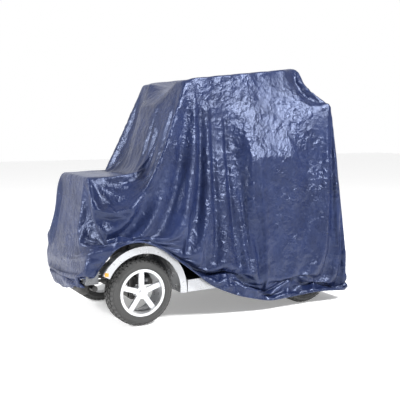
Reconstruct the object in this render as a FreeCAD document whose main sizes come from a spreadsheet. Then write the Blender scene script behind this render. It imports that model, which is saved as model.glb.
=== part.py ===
import FreeCAD, Part
import math
import os
import re

import Sketcher

# Four-wheel road mobility scooter under its fitted storage cover.
# Millimetres. +X is forward, +Y is the rider's left, +Z is up.
# The origin is on the ground at the middle of the whole object's box.

Vector = FreeCAD.Vector
doc = FreeCAD.newDocument("mobility_scooter")

SIZES = {
    # wheels and track
    "wheel_radius": 162.5,
    "wheel_mid_y": 275,
    "tyre_width": 120,
    "rim_radius": 108,
    "rim_lip_radius": 114,
    "barrel_wall": 7,
    "spoke_width": 24,
    "spoke_depth": 16,
    "hub_radius": 30,
    "shaft_radius": 10,
    "shaft_clearance": 0.05,
    "front_axle_x": 435,
    "rear_axle_x": -517,
    "king_pin_y": 200,
    "king_pin_radius": 8,
    # frame and floor
    "rail_mid_y": 80,
    "rail_size": 40,
    "frame_floor": 144,
    "deck_height": 205,
    "deck_thickness": 15,
    "mat_thickness": 5,
    "body_half_width": 345,
    # front arches and rear arches
    "arch_radius": 192,
    "arch_wall": 10,
    "arch_flange": 34,
    "arch_inner_y": 225,
    "rear_arch_radius": 186,
    # steering and tiller
    "column_x": 400,
    "column_radius": 17,
    "head_tube_radius": 28,
    "tilt_pivot_z": 440,
    "handlebar_x": 175,
    "handlebar_z": 1010,
    "handlebar_radius": 11,
    "handlebar_half": 235,
    "grip_radius": 16,
    "grip_length": 105,
    "console_low": 975,
    "console_top": 1045,
    "mirror_top": 1160,
    # front basket
    "basket_back_x": 440,
    "basket_front_x": 652,
    "basket_half_width": 200,
    "basket_low": 470,
    "basket_top": 700,
    "basket_wall": 4,
    # seat
    "seat_x": -230,
    "seat_post_radius": 25,
    "seat_post_top": 470,
    "seat_pan_low": 499,
    "seat_pan_thickness": 11,
    "cushion_height": 90,
    "cushion_half_width": 230,
    "cushion_front_x": 0,
    "cushion_back_x": -418,
    "recline_x": -440,
    "recline_z": 665,
    "backrest_top": 1060,
    "headrest_half_width": 150,
    "headrest_low": 1108,
    "headrest_top": 1245,
    "armrest_mid_y": 298,
    "armrest_top": 800,
    "armrest_pivot_x": -460,
    "armrest_pivot_z": 765,
    "nose_half_width": 300,
    # cover
    "cover_half_length": 780,
    "cover_half_width": 400,
    "cover_height": 1260,
    "cover_wall": 2,
}

sheet = doc.addObject("Spreadsheet::Sheet", "Sizes")
for row, (alias, number) in enumerate(SIZES.items(), start=1):
    sheet.set(f"A{row}", alias)
    sheet.set(f"B{row}", str(number))
    sheet.setAlias(f"B{row}", alias)
doc.recompute()


def bound(expression):
    """The expression with every alias read from the sheet."""
    return re.sub(r"[a-z_]{4,}", lambda m: f"Sizes.{m.group()}" if m.group() in SIZES else m.group(), str(expression))


def value(expression):
    """The number that an expression of aliases stands for."""
    holder = doc.getObject("Scratch") or doc.addObject("App::FeaturePython", "Scratch")
    if not hasattr(holder, "Number"):
        holder.addProperty("App::PropertyFloat", "Number")
    holder.setExpression("Number", bound(expression))
    holder.recompute()
    return holder.Number


def place(obj, x=0, y=0, z=0, rotation=None):
    """Set an object's place by expressions, and its turn."""
    if rotation is not None:
        obj.Placement = FreeCAD.Placement(Vector(0, 0, 0), rotation)
    for axis, expression in zip("xyz", (x, y, z)):
        obj.setExpression(f"Placement.Base.{axis}", bound(expression))
    return obj


def named(obj, label):
    """Give an object the label that names its file."""
    obj.Label = label
    return obj


def box(x_span, y_span, z_span):
    """A box between two planes each way."""
    made = doc.addObject("Part::Box", "Box")
    for side, (low, high) in zip(("Length", "Width", "Height"), (x_span, y_span, z_span)):
        made.setExpression(side, bound(f"({high}) - ({low})"))
    return place(made, x_span[0], y_span[0], z_span[0])


def cylinder(radius, length, x, y, z, direction=Vector(0, 0, 1)):
    """A cylinder from a point along a direction."""
    made = doc.addObject("Part::Cylinder", "Cylinder")
    made.setExpression("Radius", bound(radius))
    made.setExpression("Height", bound(length))
    return place(made, x, y, z, FreeCAD.Rotation(Vector(0, 0, 1), direction))


def rod(radius, start, end):
    """A round rod between two points, each a tuple of expressions."""
    first = Vector(*(value(part) for part in start))
    last = Vector(*(value(part) for part in end))
    return cylinder(radius, (last - first).Length, *start, last - first)


ALONG_X = Vector(1, 0, 0)
ALONG_Y = Vector(0, 1, 0)


def fuse(*parts):
    """One solid from several that touch."""
    made = doc.addObject("Part::MultiFuse", "Fusion")
    made.Shapes = list(parts)
    made.Refine = True
    return made


def group(*parts):
    """Several like solids kept in one piece."""
    made = doc.addObject("Part::Compound", "Group")
    made.Links = list(parts)
    return made


def cut(base, *tools):
    """The base less its tools."""
    made = base
    for tool in tools:
        step = doc.addObject("Part::Cut", "Cut")
        step.Base = made
        step.Tool = tool
        made = step
    return made


def common(base, tool):
    """What two solids share."""
    made = doc.addObject("Part::Common", "Common")
    made.Base = base
    made.Tool = tool
    return made


def rounded(base, radius, pick):
    """The base with the edges that pick chooses rounded off."""
    doc.recompute()
    made = doc.addObject("Part::Fillet", "Rounded")
    made.Base = base
    made.Edges = [
        (number, radius, radius)
        for number, edge in enumerate(base.Shape.Edges, start=1)
        if pick(edge)
    ]
    return made


def along(axis):
    """A test for straight edges along an axis."""
    def test(edge):
        run = edge.Vertexes[-1].Point - edge.Vertexes[0].Point
        return run.Length > 1 and abs(run.normalize().dot(axis)) > 0.999
    return test


def mirrored(source, label):
    """The same piece on the rider's right."""
    made = doc.addObject("Part::Mirroring", "Mirror")
    made.Source = source
    made.Normal = ALONG_Y
    return named(made, label)


def outline(body, role, points):
    """A closed sketch through points, each a pair of expressions."""
    sketch = body.newObject("Sketcher::SketchObject", "Outline")
    plane = next(item for item in body.Origin.OriginFeatures if item.Role == role)
    sketch.AttachmentSupport = [(plane, "")]
    sketch.MapMode = "FlatFace"
    corners = [(value(across), value(upward)) for across, upward in points]
    count = len(corners)
    for number in range(count):
        first, last = corners[number], corners[(number + 1) % count]
        sketch.addGeometry(Part.LineSegment(Vector(*first, 0), Vector(*last, 0)), False)
    for number in range(count):
        sketch.addConstraint(Sketcher.Constraint("Coincident", number, 2, (number + 1) % count, 1))
    for number, (across, upward) in enumerate(points):
        for kind, wanted, number_now in (("DistanceX", across, 0), ("DistanceY", upward, 1)):
            index = sketch.addConstraint(
                Sketcher.Constraint(kind, -1, 1, number, 1, corners[number][number_now])
            )
            name = f"{kind[-1]}_{number}"
            sketch.renameConstraint(index, name)
            if any(alias in str(wanted) for alias in SIZES):
                sketch.setExpression(f"Constraints.{name}", bound(wanted))
    return sketch


def side_plate(points, y_low, y_high):
    """A plate whose outline is seen from the side, between two y planes."""
    body = doc.addObject("PartDesign::Body", "SidePlate")
    sketch = outline(body, "XZ_Plane", points)
    pad = body.newObject("PartDesign::Pad", "Thickness")
    pad.Profile = sketch
    pad.Reversed = True
    pad.setExpression("Length", bound(f"({y_high}) - ({y_low})"))
    return place(body, 0, y_low, 0)


def cross_plate(points, x_low, x_high):
    """A plate whose outline is seen from the front, between two x planes."""
    body = doc.addObject("PartDesign::Body", "CrossPlate")
    sketch = outline(body, "YZ_Plane", points)
    pad = body.newObject("PartDesign::Pad", "Thickness")
    pad.Profile = sketch
    pad.setExpression("Length", bound(f"({x_high}) - ({x_low})"))
    return place(body, x_low, 0, 0)


def turned(points, x, z, sweep=360, start=0):
    """A shape turned about the sideways axis through (x, z).

    Points are pairs of radius and y. The sweep starts at an angle above forward.
    """
    body = doc.addObject("PartDesign::Body", "Turned")
    sketch = outline(body, "XY_Plane", points)
    spin = body.newObject("PartDesign::Revolution", "Spin")
    spin.Profile = sketch
    spin.ReferenceAxis = (sketch, ["V_Axis"])
    spin.Angle = sweep
    spin.Reversed = sweep < 360
    return place(body, x, 0, z, FreeCAD.Rotation(ALONG_Y, -start))


# ---------------------------------------------------------------- wheels
TREAD_CROWN = 14
BEAD_INSET = 12


def wheel(side, axle_x, name):
    """A tyre and a five-spoked alloy rim on one side of an axle."""
    middle = f"{side} * wheel_mid_y"
    half = "tyre_width / 2"
    outward = f"({middle}) + {side} * "
    shoulder = f"wheel_radius - {TREAD_CROWN}"
    tyre_points = [
        ("rim_radius", f"{outward} ({half} - {BEAD_INSET})"),
        ("rim_lip_radius", f"{outward} ({half} - {BEAD_INSET})"),
        (shoulder, f"{outward} {half}"),
        ("wheel_radius", f"{outward} ({half} - {2 * TREAD_CROWN})"),
        ("wheel_radius", f"{outward} ({2 * TREAD_CROWN} - {half})"),
        (shoulder, f"{outward} (0 - {half})"),
        ("rim_lip_radius", f"{outward} ({BEAD_INSET} - {half})"),
        ("rim_radius", f"{outward} ({BEAD_INSET} - {half})"),
    ]
    tyre = turned(tyre_points, axle_x, "wheel_radius")
    named(tyre, f"{name}_tyre")

    lip_width = 6
    barrel_points = [
        ("rim_radius - barrel_wall", f"{outward} ({half} - {BEAD_INSET - lip_width})"),
        ("rim_lip_radius", f"{outward} ({half} - {BEAD_INSET - lip_width})"),
        ("rim_lip_radius", f"{outward} ({half} - {BEAD_INSET})"),
        ("rim_radius", f"{outward} ({half} - {BEAD_INSET})"),
        ("rim_radius", f"{outward} ({BEAD_INSET} - {half})"),
        ("rim_lip_radius", f"{outward} ({BEAD_INSET} - {half})"),
        ("rim_lip_radius", f"{outward} ({BEAD_INSET - lip_width} - {half})"),
        ("rim_radius - barrel_wall", f"{outward} ({BEAD_INSET - lip_width} - {half})"),
    ]
    barrel = turned(barrel_points, axle_x, "wheel_radius")
    face_y = f"({middle}) + {side} * ({half} - 26) - spoke_depth / 2"
    hub = cylinder("hub_radius", "46", axle_x, f"({middle}) + {side} * 22 - 23", "wheel_radius", ALONG_Y)
    spokes = []
    for number in range(5):
        turn = FreeCAD.Rotation(ALONG_Y, 72 * number)
        spoke = doc.addObject("Part::Box", "Spoke")
        spoke.setExpression("Length", bound("spoke_width"))
        spoke.setExpression("Width", bound("spoke_depth"))
        spoke.setExpression("Height", bound("rim_radius - 3"))
        corner = turn.multVec(Vector(-SIZES["spoke_width"] / 2, 0, 0))
        spokes.append(place(spoke, f"{axle_x} + {corner.x:.4f}", face_y, f"wheel_radius + {corner.z:.4f}", turn))
    bore = cylinder("shaft_radius + shaft_clearance", "96", axle_x, f"({middle}) - 48", "wheel_radius", ALONG_Y)
    rim = cut(fuse(barrel, hub, *spokes), bore)
    named(rim, f"{name}_rim")
    return [tyre, rim]


# ---------------------------------------------------------------- chassis
def main_frame():
    """Two box rails, three cross members, the neck and the head tube."""
    top = "frame_floor + rail_size"
    rails = [
        box(("-440", "330"), (f"{side} * rail_mid_y - 20", f"{side} * rail_mid_y + 20"), ("frame_floor", top))
        for side in (-1, 1)
    ]
    crossings = [
        box((str(x), f"{x} + 40"), ("-rail_mid_y", "rail_mid_y"), ("frame_floor", top))
        for x in (-440, -250, -60, 130, 290)
    ]
    neck = box(("300", "490"), ("-60", "60"), ("frame_floor", top))
    gusset = box(("column_x + 24", "column_x + 66"), ("-18", "18"), ("frame_floor + 30", "390"))
    head_tube = cylinder("head_tube_radius", "180", "column_x", "0", "220")
    bearing_hole = cylinder("column_radius + 0.1", "240", "column_x", "0", "186")
    seat_socket = cylinder("seat_post_radius + 10", "70", "seat_x", "0", f"{top} - 10")
    socket_hole = cylinder("seat_post_radius", "80", "seat_x", "0", f"{top} - 8")
    solid = fuse(*rails, *crossings, neck, gusset, head_tube, seat_socket)
    return named(cut(solid, bearing_hole, socket_hole), "main_frame")


def front_axle_beam():
    """The cross beam with a forked end and a king pin for each knuckle."""
    thick = ("front_axle_x - 15", "front_axle_x + 15")
    beam = box(("front_axle_x - 18", "front_axle_x + 18"), ("-182", "182"), ("112", "frame_floor"))
    parts = [beam]
    for side in (-1, 1):
        near, far = sorted((side * 165, side * 182))
        parts.append(box(thick, (str(near), str(far)), ("108", "217")))
        near, far = sorted((side * 165, side * 214))
        parts.append(box(thick, (str(near), str(far)), ("108", "116")))
        parts.append(box(thick, (str(near), str(far)), ("209", "217")))
        parts.append(cylinder("king_pin_radius", "109", "front_axle_x", f"{side} * king_pin_y", "108"))
    return named(fuse(*parts), "front_axle_beam")


def knuckle():
    """The left knuckle: its boss, stub axle and steering arm."""
    boss = cylinder("2 * king_pin_radius", "91", "front_axle_x", "king_pin_y", "117")
    stub = cylinder("shaft_radius", "118", "front_axle_x", "king_pin_y", "wheel_radius", ALONG_Y)
    arm = box(("front_axle_x - 82", "front_axle_x"), ("king_pin_y - 8", "king_pin_y + 8"), ("176", "185"))
    hole = cylinder("king_pin_radius + shaft_clearance", "120", "front_axle_x", "king_pin_y", "110")
    return named(cut(fuse(boss, stub, arm), hole), "left_knuckle")


def tie_rod():
    """The rod that joins the two steering arms, with an eye at each end."""
    bar = rod("6", ("front_axle_x - 72", "-king_pin_y", "194"), ("front_axle_x - 72", "king_pin_y", "194"))
    eyes = [cylinder("11", "14", "front_axle_x - 72", f"{side} * king_pin_y", "187") for side in (-1, 1)]
    return named(fuse(bar, *eyes), "tie_rod")


def floor_pan():
    """The footwell floor with a tongue over the steering."""
    low = "deck_height - deck_thickness"
    floor = box(("-127", "190"), ("-325", "325"), (low, "deck_height"))
    front = box(("190", "246"), ("-222", "222"), (low, "deck_height"))
    tongue = box(("235", "345"), ("-130", "130"), ("deck_height - 2", "deck_height + 8"))
    return named(fuse(floor, front, tongue), "floor_pan")


def deck_mat():
    """The ribbed rubber mat on the floor."""
    mat = box(("-110", "180"), ("-300", "300"), ("deck_height", "deck_height + mat_thickness"))
    return named(rounded(mat, 30, along(Vector(0, 0, 1))), "deck_mat")


def side_skirt():
    """The silver skirt between the wheels on the left."""
    profile = [("-290", "150"), ("204", "146"), ("204", "204"), ("130", "deck_height + 2"), ("-290", "deck_height + 2")]
    return side_plate(profile, "325", "body_half_width")


def fender(name, axle_x, radius, inner_y, start, sweep):
    """A wheel arch with a broad outer flange."""
    flange_y = "body_half_width - 14"
    profile = [
        (radius, inner_y),
        (f"{radius} + arch_wall", inner_y),
        (f"{radius} + arch_wall", flange_y),
        (f"{radius} + arch_flange", flange_y),
        (f"{radius} + arch_flange", "body_half_width"),
        (radius, "body_half_width"),
    ]
    return named(turned(profile, axle_x, "wheel_radius", sweep, start), name)


def front_fascia():
    """The nose, the panel over the steering and the panel before the feet, all thin walled."""
    nose_low = 222
    outside = side_plate(
        [("645", nose_low), ("705", nose_low), ("705", "288"), ("682", "362"), ("645", "392")],
        "-nose_half_width", "nose_half_width",
    )
    inside = side_plate(
        [("640", nose_low - 4), ("700", nose_low - 4), ("700", "287"), ("679", "357"), ("640", "387")],
        "5 - nose_half_width", "nose_half_width - 5",
    )
    nose = cut(outside, inside)
    deck = box(("300", "646"), ("-224", "224"), ("384", "392"))
    foot_panel = side_plate(
        [("246", "deck_height + 8"), ("254", "deck_height + 8"), ("308", "384"), ("308", "392"), ("300", "392")],
        "-224", "224",
    )
    column_hole = cylinder("head_tube_radius + 4", "40", "column_x", "0", "370")
    gusset_hole = box(("column_x + 20", "column_x + 72"), ("-24", "24"), ("370", "400"))
    return named(cut(fuse(nose, deck, foot_panel), column_hole, gusset_hole), "front_fascia")


def front_bumper():
    """The rubber-faced bumper bar across the nose."""
    bar = box(("662", "718"), ("-240", "240"), ("160", "222"))
    return named(rounded(bar, 22, lambda edge: along(ALONG_Y)(edge) and edge.BoundBox.XMin > 680), "front_bumper")


def bumper_bar():
    """The tube behind the bumper and its two stays from the neck."""
    cross = rod("14", ("640", "-235", "185"), ("640", "235", "185"))
    stays = [
        box(("490", "662"), (f"{side} * 45 - 8", f"{side} * 45 + 8"), ("172", "184"))
        for side in (-1, 1)
    ]
    return named(fuse(cross, *stays), "bumper_bar")


def headlights():
    """The two lamp lenses on the nose."""
    lenses = [
        rounded(box(("705", "713"), (f"{side} * 200 - 55", f"{side} * 200 + 55"), ("236", "284")), 18, along(ALONG_X))
        for side in (-1, 1)
    ]
    return named(group(*lenses), "headlights")


def rear_shroud():
    """The thin-walled housing over the batteries and the drive, open below."""
    side = [("-700", "206"), ("-128", "206"), ("-128", "330"), ("-175", "398"), ("-640", "398"), ("-700", "340")]
    hollow = [("-696", "200"), ("-132", "200"), ("-132", "329"), ("-177", "394"), ("-638", "394"), ("-696", "338")]
    shell = cut(side_plate(side, "-203", "203"), side_plate(hollow, "-199", "199"))
    post_hole = cylinder("seat_post_radius + 6", "40", "seat_x", "0", "380")
    return named(cut(shell, post_hole), "rear_shroud")


def rear_bumper():
    """The bumper across the tail."""
    bar = box(("-742", "-700"), ("-200", "200"), ("212", "272"))
    return named(rounded(bar, 18, lambda edge: along(ALONG_Y)(edge) and edge.BoundBox.XMax < -710), "rear_bumper")


def tail_lights():
    """The two tail lenses."""
    lenses = [
        rounded(box(("-708", "-700"), (f"{side} * 145 - 45", f"{side} * 145 + 45"), ("285", "330")), 14, along(ALONG_X))
        for side in (-1, 1)
    ]
    return named(group(*lenses), "tail_lights")


def batteries():
    """Two sealed batteries side by side under the seat."""
    cases = [
        box(("-380", "-180"), (f"{side} * 115 - 70", f"{side} * 115 + 70"), ("206", "372"))
        for side in (-1, 1)
    ]
    return named(group(*cases), "batteries")


def controller():
    """The motor controller in its finned case."""
    case = box(("-560", "-430"), ("-60", "60"), ("270", "320"))
    fins = [box(("-560", "-430"), (str(y), str(y + 5)), ("320", "332")) for y in range(-58, 56, 14)]
    return named(fuse(case, *fins), "controller")


def transaxle():
    """Gearbox, axle tubes, drive shafts and the motor, bolted to the rails."""
    case = box(("-585", "-440"), ("-95", "95"), ("118", "206"))
    motor = cylinder("46", "110", "-585", "30", "wheel_radius", Vector(-1, 0, 0))
    tubes = cylinder("28", "400", "rear_axle_x", "-200", "wheel_radius", ALONG_Y)
    shafts = cylinder("shaft_radius", "636", "rear_axle_x", "-318", "wheel_radius", ALONG_Y)
    return named(fuse(case, motor, tubes, shafts), "transaxle")


def seat_post():
    """The post that stands in the frame socket."""
    foot = "frame_floor + rail_size - 8"
    return named(cylinder("seat_post_radius", f"seat_post_top - ({foot})", "seat_x", "0", foot), "seat_post")


# ---------------------------------------------------------------- tiller
PIN_REACH = 32


def steering_column():
    """The column in the head tube, its drop arm and the yoke that the tiller tilts in."""
    shaft = cylinder("column_radius", "216", "column_x", "0", "190")
    drop_arm = box(("front_axle_x - 80", "column_x"), ("-10", "10"), ("202", "210"))
    base = box(("column_x - 26", "column_x + 26"), ("-30", "30"), ("404", "412"))
    ears = [
        box(("column_x - 18", "column_x + 18"), (f"{side} * 26 - 4", f"{side} * 26 + 4"), ("410", "tilt_pivot_z + 22"))
        for side in (-1, 1)
    ]
    pin = cylinder("8", f"{PIN_REACH + 54}", "column_x", f"{-PIN_REACH}", "tilt_pivot_z", ALONG_Y)
    basket_stay = box(("column_x + 26", "basket_back_x"), ("-30", "30"), ("404", "412"))
    basket_back = box(("basket_back_x - 8", "basket_back_x"), ("-30", "30"), ("404", "basket_low + 90"))
    return named(fuse(shaft, drop_arm, base, *ears, pin, basket_stay, basket_back), "steering_column")


def tiller_shroud():
    """The tiller's stem and console housing, tilted back towards the rider."""
    boss = fuse(
        cylinder("20", "42", "column_x", "-21", "tilt_pivot_z", ALONG_Y),
        side_plate([("383", "450"), ("418", "450"), ("404", "490"), ("352", "478")], "-21", "21"),
    )
    stem = side_plate(
        [("346", "470"), ("412", "484"), ("330", "740"), ("252", "985"), ("160", "985"), ("262", "700")],
        "-42", "42",
    )
    console = cross_plate(
        [("-112", "990"), ("-96", "console_low"), ("96", "console_low"), ("112", "990"),
         ("100", "1036"), ("70", "console_top"), ("-70", "console_top"), ("-100", "1036")],
        "118", "246",
    )
    solid = fuse(stem, console, boss)
    pin_hole = cylinder("8.05", "80", "column_x", "-40", "tilt_pivot_z", ALONG_Y)
    bar_hole = cylinder("handlebar_radius", "300", "handlebar_x", "-150", "handlebar_z", ALONG_Y)
    horn_hole = cylinder("7.4", "10", "200", "48", "console_top - 8")
    light_hole = cylinder("7.4", "10", "200", "-48", "console_top - 8")
    return named(cut(solid, pin_hole, bar_hole, horn_hole, light_hole), "tiller_shroud")


def handlebar():
    """The straight bar through the console."""
    bar = cylinder("handlebar_radius", "2 * handlebar_half", "handlebar_x", "-handlebar_half", "handlebar_z", ALONG_Y)
    return named(bar, "handlebar")


def grip():
    """The left rubber grip."""
    start = "handlebar_half - grip_length"
    sleeve = cylinder("grip_radius", "grip_length + 6", "handlebar_x", start, "handlebar_z", ALONG_Y)
    hole = cylinder("handlebar_radius", "grip_length", "handlebar_x", start, "handlebar_z", ALONG_Y)
    return named(cut(sleeve, hole), "left_grip")


def throttle_lever():
    """The two-ended thumb paddle under the console."""
    paddle = box(("126", "144"), ("-105", "105"), ("952", "964"))
    pivot = cylinder("9", "22.7", "135", "0", "952")
    return named(fuse(paddle, pivot), "throttle_lever")


def brake_lever():
    """The hand lever ahead of the left grip."""
    blade = box(("222", "232"), ("118", "228"), ("1002", "1016"))
    eye = cylinder("11", "14", "227", "126", "1002")
    return named(fuse(blade, eye), "brake_lever")


def speed_dial():
    """The knob that limits the speed."""
    knob = cylinder("15", "14", "150", "34", "console_top + 0.3")
    pointer = box(("135", "150"), ("33", "35"), ("console_top + 14", "console_top + 16"))
    return named(fuse(knob, pointer), "speed_dial")


def ignition_key():
    """The key in its barrel."""
    blade = cylinder("6", "10", "150", "-34", "console_top + 0.3")
    bow = box(("140", "160"), ("-35.5", "-32.5"), ("console_top + 8", "console_top + 34"))
    return named(fuse(blade, bow), "ignition_key")


def button(y, label):
    """A push button in its hole in the console."""
    return named(cylinder("7", "9", "200", y, "console_top - 4"), label)


def tilt_lever():
    """The lever that frees the tiller's tilt."""
    arm = side_plate([("400", "428"), ("400", "452"), ("322", "478"), ("318", "468")], "46", "52")
    eye = cylinder("14", "6", "column_x", "46", "tilt_pivot_z", ALONG_Y)
    hole = cylinder("8.1", "20", "column_x", "40", "tilt_pivot_z", ALONG_Y)
    return named(cut(fuse(arm, eye), hole), "tilt_lever")


def basket():
    """The open-topped front basket."""
    outside = [
        ("basket_back_x", "basket_low"), ("basket_front_x - 34", "basket_low"),
        ("basket_front_x", "basket_top"), ("basket_back_x", "basket_top"),
    ]
    inside = [
        ("basket_back_x + basket_wall", "basket_low + basket_wall"),
        ("basket_front_x - 34 - basket_wall", "basket_low + basket_wall"),
        ("basket_front_x - basket_wall", "basket_top + 5"), ("basket_back_x + basket_wall", "basket_top + 5"),
    ]
    shell = cut(
        side_plate(outside, "-basket_half_width", "basket_half_width"),
        side_plate(inside, "basket_wall - basket_half_width", "basket_half_width - basket_wall"),
    )
    return named(shell, "basket")


def mirror():
    """The left mirror: its stem, with a clamp on the bar, and its head."""
    stem = rod("5", ("168", "122", "handlebar_z + 20"), ("158", "178", "1085"))
    post = cylinder("5", "12", "168", "122", "handlebar_z + 11.3")
    head = rounded(box(("146", "168"), ("146", "250"), ("1080", "mirror_top")), 10, along(ALONG_X))
    return named(fuse(stem, post, head), "left_mirror")


# ---------------------------------------------------------------- seat
def seat_swivel():
    """The sleeve that turns on the post, and its top plate."""
    sleeve = cylinder("seat_post_radius + 8", "82", "seat_x", "0", "410")
    plate = box(("seat_x - 110", "seat_x + 110"), ("-110", "110"), ("490", "498"))
    hole = cylinder("seat_post_radius + 0.1", "61", "seat_x", "0", "409.5")
    return named(cut(fuse(sleeve, plate), hole), "seat_swivel")


def seat_pan():
    """The steel pan under the cushion, with a slide rail at each side of the plate."""
    top = "seat_pan_low + seat_pan_thickness"
    pan = box(("cushion_back_x + 8", "cushion_front_x - 20"), ("20 - cushion_half_width", "cushion_half_width - 20"),
              ("seat_pan_low", top))
    rails = [
        box(("-400", "-60"), (f"{side} * 122 - 8", f"{side} * 122 + 8"), ("484", "seat_pan_low"))
        for side in (-1, 1)
    ]
    return named(fuse(pan, *rails), "seat_pan")


def seat_cushion():
    """The seat pad."""
    low = "seat_pan_low + seat_pan_thickness"
    pad = box(("cushion_back_x", "cushion_front_x"), ("-cushion_half_width", "cushion_half_width"),
              (low, f"{low} + cushion_height"))
    return named(rounded(pad, 30, lambda edge: edge.BoundBox.ZMin > 590), "seat_cushion")


def seat_bracket():
    """The left side frame: it carries the recliner pin and the armrest."""
    foot = box(("-472", "-390"), ("211", "288"), ("484", "498"))
    recliner = box(("-456", "-424"), ("236", "244"), ("484", "recline_z + 16"))
    upright = box(("-472", "-448"), ("276", "288"), ("484", "armrest_pivot_z + 11"))
    pin = cylinder("8", "22", "recline_x", "216", "recline_z", ALONG_Y)
    arm_pin = cylinder("6", "24", "armrest_pivot_x", "286", "armrest_pivot_z", ALONG_Y)
    return fuse(foot, recliner, upright, pin, arm_pin)


LEAN = 70 / 395


def leaning(low, high, front, back):
    """A side outline that leans back with height, between two heights."""
    x_low = f"recline_x - {LEAN:.5f} * (({low}) - recline_z)"
    x_high = f"recline_x - {LEAN:.5f} * (({high}) - recline_z)"
    return [
        (f"{x_low} - {back}", low), (f"{x_low} + {front}", low),
        (f"{x_high} + {front}", high), (f"{x_high} - {back}", high),
    ]


def backrest_shell():
    """The hard shell of the backrest, with a hole for each recliner pin."""
    shell = side_plate(leaning("650", "backrest_top", "12", "12"), "-234", "234")
    holes = [
        cylinder("8.1", "24", "recline_x", str(y), "recline_z", ALONG_Y) for y in (-238, 214)
    ]
    return named(cut(shell, *holes), "backrest_shell")


def backrest_cushion():
    """The pad on the backrest's front."""
    pad = side_plate(leaning("656", "backrest_top", "58", "-12"), "-228", "228")
    return named(rounded(pad, 22, lambda edge: not along(ALONG_Y)(edge) and edge.BoundBox.ZLength > 100), "backrest_cushion")


def headrest():
    """The headrest on its two posts."""
    pad = side_plate(leaning("headrest_low", "headrest_top", "46", "24"), "-headrest_half_width", "headrest_half_width")
    pad = rounded(pad, 20, along(ALONG_Y))
    posts = []
    for side in (-1, 1):
        top_x = f"recline_x - {LEAN:.5f} * (headrest_low + 8 - recline_z) - 20"
        low_x = f"recline_x - {LEAN:.5f} * (960 - recline_z) - 20"
        posts.append(rod("6", (low_x, f"{side} * 60", "960"), (top_x, f"{side} * 60", "headrest_low + 8")))
    return named(fuse(pad, *posts), "headrest")


def armrest():
    """The left armrest: a rounded pad that lifts about its rear end."""
    pad = box(("-434", "-157"), ("armrest_mid_y - 32", "armrest_mid_y + 32"), ("armrest_top - 45", "armrest_top"))
    arm = box(("-470", "-200"), ("armrest_mid_y - 8", "armrest_mid_y + 8"), ("750", "armrest_top - 32"))
    hole = cylinder("6.1", "40", "armrest_pivot_x", "280", "armrest_pivot_z", ALONG_Y)
    pad = rounded(pad, 14, lambda edge: edge.BoundBox.ZMin > 790 or along(Vector(0, 0, 1))(edge))
    return named(cut(fuse(pad, arm), hole), "left_armrest")


def swivel_lever():
    """The lever that frees the seat to turn."""
    arm = box(("seat_x - 10", "seat_x + 10"), ("-235", "-34"), ("440", "447"))
    knob = cylinder("11", "42", "seat_x", "-262", "443.5", ALONG_Y)
    return named(fuse(arm, knob), "swivel_lever")


# ---------------------------------------------------------------- cover
def inset(points, gap):
    """The points of a clockwise outline moved inwards by a gap, each side kept parallel."""
    moved = []
    count = len(points)
    for number in range(count):
        before, here, after = (Vector(*points[(number + step) % count], 0) for step in (-1, 0, 1))
        first, last = (here - before).normalize(), (after - here).normalize()
        first_in, last_in = Vector(first.y, -first.x, 0), Vector(last.y, -last.x, 0)
        across = first_in + last_in
        moved.append(tuple(here + across * (2 * gap / across.dot(across)))[:2])
    return moved


def cover_panels():
    """The storage cover: sewn panels over the basket, tiller and seat, with a cut-away hem."""
    side = [
        (-780, 0), (-780, 120), (-745, 350), (-700, 660), (-706, 1045), (-545, 1259),
        (165, 1172), (272, 1052), (420, 715), (662, 712), (772, 480), (780, 260), (780, 0),
    ]
    wide = value("cover_half_width")
    top = value("cover_height")
    half = [(wide, 0), (wide, 330), (wide - 14, 830), (262, 1180), (172, top), (172, top + 40)]
    across = [(-y, z) for y, z in half] + [(y, z) for y, z in reversed(half)]
    wall = value("cover_wall")
    inner_across = [(y - math.copysign(wall, y), z) for y, z in across]
    # the cutters run past the solids that they cut
    inner_across = [(y, z + (60 if z > top + 1 else 0)) for y, z in inner_across]
    hem = [(790, 240), (700, 300), (622, 400), (450, 415), (352, 352), (83, 168), (-60, 106), (-250, 60), (-790, 50)]

    whole_side = side_plate(side, "-cover_half_width", "cover_half_width")
    whole_across = cross_plate(across, "-cover_half_length", "cover_half_length")
    narrow = cross_plate(inner_across, "-cover_half_length - 20", "cover_half_length + 20")
    below = side_plate([*hem, (-790, -30), (790, -30)], "-cover_half_width - 20", "cover_half_width + 20")
    solid = cut(common(whole_side, whole_across), below)
    skins = cut(solid, narrow)
    inner = inset(side, wall)
    inner = [(x, z - (30 if z < 10 else 0)) for x, z in inner]
    strip = cut(common(solid, narrow), side_plate(inner, "-cover_half_width - 20", "cover_half_width + 20"))

    past = ("-cover_half_width - 30", "cover_half_width + 30")
    left_half = box(("-900", "900"), ("0", "cover_half_width + 30"), ("-50", "1500"))
    front_zone = box(("420", "900"), past, ("-50", "1500"))
    rear_zone = box(("-900", "-600"), past, ("-50", "1045"))
    left = named(common(skins, left_half), "cover_left_side")
    panels = [left, mirrored(left, "cover_right_side")]
    panels.append(named(common(strip, front_zone), "cover_front_end"))
    panels.append(named(common(strip, rear_zone), "cover_rear_end"))
    panels.append(named(cut(strip, front_zone, rear_zone), "cover_roof"))
    return panels


# ---------------------------------------------------------------- assembly
pieces = []
for sign, hand in ((1, "left"), (-1, "right")):
    pieces += wheel(sign, "front_axle_x", f"{hand}_front")
    pieces += wheel(sign, "rear_axle_x", f"{hand}_rear")

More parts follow.
